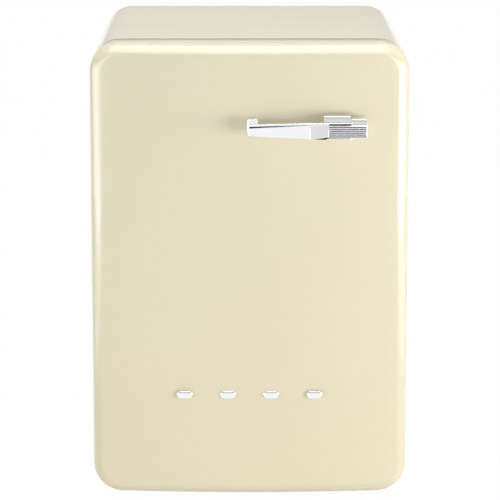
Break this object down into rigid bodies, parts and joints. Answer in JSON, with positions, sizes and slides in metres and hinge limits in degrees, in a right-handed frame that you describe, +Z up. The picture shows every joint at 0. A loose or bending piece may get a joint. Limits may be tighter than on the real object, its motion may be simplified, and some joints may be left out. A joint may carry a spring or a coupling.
{
  "type": "mini fridge",
  "caption": "Under-counter retro refrigerator with a crowned enamel door, chrome pull, ice box, shelves, crisper drawer, door bins and rear condenser.",
  "frame": {"origin": "on the floor, below the middle of the whole object's box, handle included", "axes": "+Z up, the door faces -Y, +X to the right when facing the door"},
  "size_m": [0.6, 0.694, 0.885],
  "materials": {
    "cream_enamel": "gloss enamel",
    "chrome_trim": "polished",
    "galvanised_steel": "galvanised",
    "white_liner": "satin",
    "white_gloss": "gloss",
    "clear_plastic": "clear",
    "shelf_glass": "clear",
    "frosted_lens": "frosted",
    "foam": "rigid foam",
    "gasket_grey": "soft",
    "black_rubber": "soft",
    "black_plastic": "satin",
    "black_enamel": "semi-gloss",
    "evaporator_aluminium": "rolled",
    "copper": "drawn copper",
    "circuit_board": "solder resist",
    "grey_plastic": "satin",
    "nylon": "satin"
  },
  "bodies": {
    "cabinet": {"cabinet_shell": "cream_enamel", "front_frame": "cream_enamel", "base_pan": "galvanised_steel", "rear_panel": "galvanised_steel", "cabinet_insulation": "foam", "inner_liner": "white_liner", "ice_box": "evaporator_aluminium", "control_housing": "white_gloss", "lamp_cover": "frosted_lens", "led_board": "circuit_board", "light_switch_body": "black_plastic", "lower_glass_shelf": "shelf_glass", "lower_shelf_trim": "white_gloss", "upper_glass_shelf": "shelf_glass", "upper_shelf_trim": "white_gloss", "bottle_rack": "chrome_trim", "crisper_cover": "shelf_glass", "drain_tube": "grey_plastic", "evaporation_tray": "black_plastic", "compressor": "black_enamel", "compressor_mounts": "black_rubber", "compressor_plate": "galvanised_steel", "relay_cover": "black_plastic", "condenser_coil": "black_enamel", "condenser_wires": "black_enamel", "filter_drier": "copper", "suction_line": "copper", "mains_inlet": "black_plastic", "upper_hinge_bracket": "galvanised_steel", "lower_hinge_bracket": "galvanised_steel", "hinge_pins": "chrome_trim", "hinge_screws": "chrome_trim"},
    "door": {"door_skin": "cream_enamel", "door_insulation": "foam", "door_liner": "white_liner", "door_gasket": "gasket_grey", "hinge_blocks": "nylon", "handle_foot": "chrome_trim", "handle_blade": "chrome_trim", "handle_grip": "chrome_trim", "handle_bracket": "chrome_trim", "handle_screws": "galvanised_steel", "trim_studs": "chrome_trim", "dairy_bin": "clear_plastic", "egg_tray": "white_gloss", "middle_bin": "clear_plastic", "bottle_bin": "clear_plastic", "bottle_rail": "chrome_trim"},
    "dairy_lid": {"dairy_lid": "clear_plastic"},
    "ice_box_flap": {"ice_box_flap": "white_gloss"},
    "drip_tray": {"drip_tray": "grey_plastic"},
    "crisper_drawer": {"crisper_drawer": "clear_plastic"},
    "thermostat_knob": {"thermostat_knob": "white_gloss"},
    "switch_plunger": {"switch_plunger": "white_gloss"},
    "bottle_clip": {"bottle_clip": "white_gloss"},
    "front_left_foot": {"front_left_foot": "black_plastic"},
    "front_right_foot": {"front_right_foot": "black_plastic"},
    "rear_left_foot": {"rear_left_foot": "black_plastic"},
    "rear_right_foot": {"rear_right_foot": "black_plastic"}
  },
  "joints": [
    {"name": "door_swing", "type": "hinge", "parent": "cabinet", "child": "door", "pos_m": [-0.285, -0.235, 0.4425], "axis": [0, 0, -1], "range_deg": [0, 105]},
    {"name": "crisper_slide", "type": "slide", "parent": "cabinet", "child": "crisper_drawer", "axis": [0, -1, 0], "range_m": [0, 0.147]},
    {"name": "switch_press", "type": "slide", "parent": "cabinet", "child": "switch_plunger", "axis": [0, -1, 0], "range_m": [0, 0.005]},
    {"name": "ice_flap_swing", "type": "hinge", "parent": "cabinet", "child": "ice_box_flap", "pos_m": [0, -0.0285, 0.706], "axis": [1, 0, 0], "range_deg": [0, 90]},
    {"name": "drip_tray_slide", "type": "slide", "parent": "cabinet", "child": "drip_tray", "axis": [0, -1, 0], "range_m": [0, 0.09]},
    {"name": "thermostat_turn", "type": "hinge", "parent": "cabinet", "child": "thermostat_knob", "pos_m": [0.223, -0.034, 0.62], "axis": [-1, 0, 0], "range_deg": [0, 270]},
    {"name": "dairy_lid_swing", "type": "hinge", "parent": "door", "child": "dairy_lid", "pos_m": [0, -0.2127, 0.728], "axis": [1, 0, 0], "range_deg": [0, 75]},
    {"name": "bottle_clip_slide", "type": "slide", "parent": "door", "child": "bottle_clip", "axis": [1, 0, 0], "range_m": [-0.12, 0.24]},
    {"name": "front_left_foot_turn", "type": "hinge", "parent": "cabinet", "child": "front_left_foot", "pos_m": [-0.225, -0.153, 0], "axis": [0, 0, 1], "continuous": true},
    {"name": "front_right_foot_turn", "type": "hinge", "parent": "cabinet", "child": "front_right_foot", "pos_m": [0.225, -0.153, 0], "axis": [0, 0, 1], "continuous": true},
    {"name": "rear_left_foot_turn", "type": "hinge", "parent": "cabinet", "child": "rear_left_foot", "pos_m": [-0.225, 0.287, 0], "axis": [0, 0, 1], "continuous": true},
    {"name": "rear_right_foot_turn", "type": "hinge", "parent": "cabinet", "child": "rear_right_foot", "pos_m": [0.225, 0.287, 0], "axis": [0, 0, 1], "continuous": true}
  ],
  "couplings": [
    {"joint": "crisper_slide", "follows": "door_swing", "m_per_rad": 0.08},
    {"joint": "switch_press", "follows": "door_swing", "m_per_rad": 0.0027}
  ]
}
